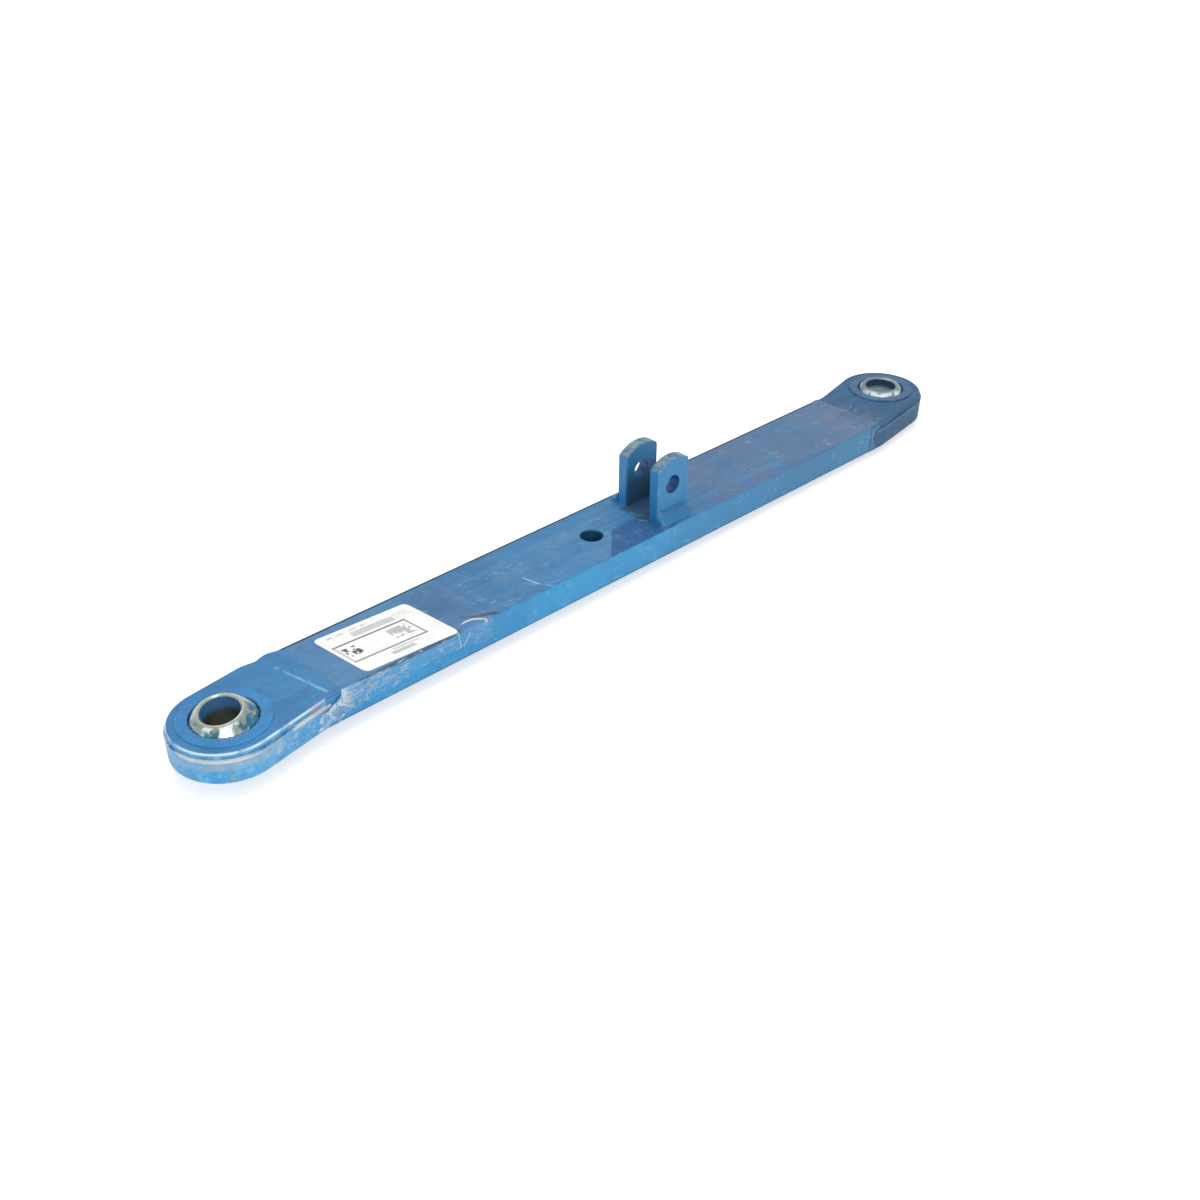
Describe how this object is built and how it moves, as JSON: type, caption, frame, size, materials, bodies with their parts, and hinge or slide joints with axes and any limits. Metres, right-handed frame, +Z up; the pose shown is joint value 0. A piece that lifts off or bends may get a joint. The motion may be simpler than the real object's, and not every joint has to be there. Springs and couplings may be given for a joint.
{
  "type": "tractor pull arm",
  "caption": "Flat steel pull arm for a tractor hitch, with a forged swivel-ball eye welded on at each end, and a through hole and drop-arm clevis lugs along the bar.",
  "frame": {"origin": "centre of the arm's footprint, on the surface that the balls stand on", "axes": "+X along the bar from the near eye to the far eye, +Y across the bar towards the rear lug, +Z up through the bar's thickness"},
  "size_m": [0.8466, 0.1002, 0.0922],
  "materials": {
    "bar_paint": "semi-gloss blue enamel, scuffed and dusty on the top face",
    "forging_paint": "semi-gloss blue enamel over forged steel, worn bright along the parting ledge",
    "ring_paint": "semi-gloss blue enamel",
    "near_ball_plating": "zinc-plated turned steel with a yellow-green tint",
    "far_ball_plating": "zinc-plated turned steel",
    "lug_paint": "semi-gloss blue enamel, rubbed pale along the cut edges",
    "weld_paint": "blue enamel over weld metal, with rust showing through",
    "label_paper": "white label paper with plain grey bars",
    "clear_tape": "clear packing tape, wrinkled over the edge"
  },
  "bodies": {
    "arm": {"main_bar": "bar_paint", "near_end_forging": "forging_paint", "far_end_forging": "forging_paint", "near_race_ring": "ring_paint", "far_race_ring": "ring_paint", "near_weld_top": "weld_paint", "near_weld_bottom": "weld_paint", "near_weld_front": "weld_paint", "near_weld_back": "weld_paint", "far_weld_top": "weld_paint", "far_weld_bottom": "weld_paint", "far_weld_front": "weld_paint", "far_weld_back": "weld_paint", "front_lug": "lug_paint", "rear_lug": "lug_paint", "front_lug_weld": "weld_paint", "rear_lug_weld": "weld_paint", "paper_label": "label_paper", "label_tape": "clear_tape"},
    "near_ball": {"near_ball": "near_ball_plating"},
    "far_ball": {"far_ball": "far_ball_plating"}
  },
  "joints": [
    {"name": "near_ball_sway", "type": "hinge", "parent": "arm", "child": "near_ball", "pos_m": [-0.382, -0.0072, 0.02467], "axis": [0, 1, 0], "range_deg": [-12, 28]},
    {"name": "far_ball_sway", "type": "hinge", "parent": "arm", "child": "far_ball", "pos_m": [0.382, 0.0104, 0.02467], "axis": [0, 1, 0], "range_deg": [-18, 18]}
  ]
}
